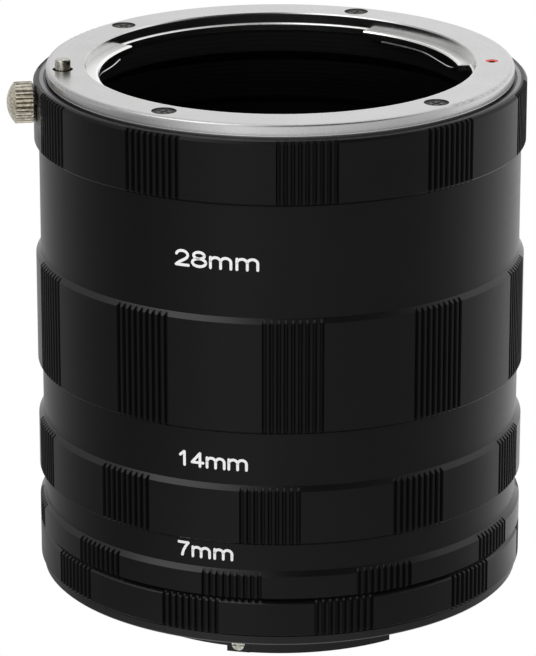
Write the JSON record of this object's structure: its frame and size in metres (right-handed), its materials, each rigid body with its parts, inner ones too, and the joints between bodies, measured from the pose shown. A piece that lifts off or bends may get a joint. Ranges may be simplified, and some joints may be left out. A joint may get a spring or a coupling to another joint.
{
  "type": "macro extension tube",
  "caption": "Stacked macro extension tube with knurled black rings, a chromed lens bayonet flange with release knob, and a black camera bayonet.",
  "frame": {"origin": "on the tube axis at the lowest face of the rear bayonet", "axes": "+Z along the tube axis towards the lens, +X towards the red index mark, the release knob at -X"},
  "size_m": [0.063, 0.06, 0.0693],
  "materials": {
    "black_anodised": "satin black anodised",
    "black_bayonet": "satin black",
    "satin_chrome": "satin chrome on brass",
    "dark_screw": "dark steel",
    "bright_screw": "bright steel",
    "spring_steel": "polished spring steel",
    "warm_nickel": "warm nickel",
    "red_paint": "red paint in a dimple",
    "white_print": "white print"
  },
  "bodies": {
    "rear_mount": {"rear_bayonet": "black_bayonet", "rear_ring": "black_anodised", "stop_screw": "bright_screw", "rear_screw_1": "bright_screw", "rear_screw_2": "bright_screw", "rear_screw_3": "bright_screw", "rear_screw_4": "bright_screw"},
    "tube_7": {"tube_7mm": "black_anodised"},
    "tube_14": {"tube_14mm": "black_anodised"},
    "tube_28": {"tube_28mm": "black_anodised"},
    "front_mount": {"front_ring": "black_anodised", "lens_flange": "satin_chrome", "index_mark": "red_paint", "lock_spring": "spring_steel", "flange_screw_1": "dark_screw", "flange_screw_2": "dark_screw", "flange_screw_3": "dark_screw", "flange_screw_4": "dark_screw", "leaf_spring_1": "spring_steel", "leaf_spring_2": "spring_steel", "leaf_spring_3": "spring_steel", "leaf_rivet_1": "spring_steel", "leaf_rivet_2": "spring_steel", "leaf_rivet_3": "spring_steel"},
    "lens_lock": {"lock_pin": "bright_screw", "lock_block": "bright_screw", "release_stem": "bright_screw", "release_knob": "warm_nickel"}
  },
  "joints": [
    {"name": "unscrew_7mm", "type": "slide", "parent": "rear_mount", "child": "tube_7", "axis": [0, 0, 1], "range_m": [0, 0.0032]},
    {"name": "unscrew_14mm", "type": "slide", "parent": "tube_7", "child": "tube_14", "axis": [0, 0, 1], "range_m": [0, 0.0032]},
    {"name": "unscrew_28mm", "type": "slide", "parent": "tube_14", "child": "tube_28", "axis": [0, 0, 1], "range_m": [0, 0.0032]},
    {"name": "unscrew_front", "type": "slide", "parent": "tube_28", "child": "front_mount", "axis": [0, 0, 1], "range_m": [0, 0.0032]},
    {"name": "lens_release", "type": "slide", "parent": "front_mount", "child": "lens_lock", "axis": [0, 0, -1], "range_m": [0, 0.00135], "stiffness_N_per_m": 500, "springref_m": -0.001, "deforming": ["lock_spring"]}
  ]
}
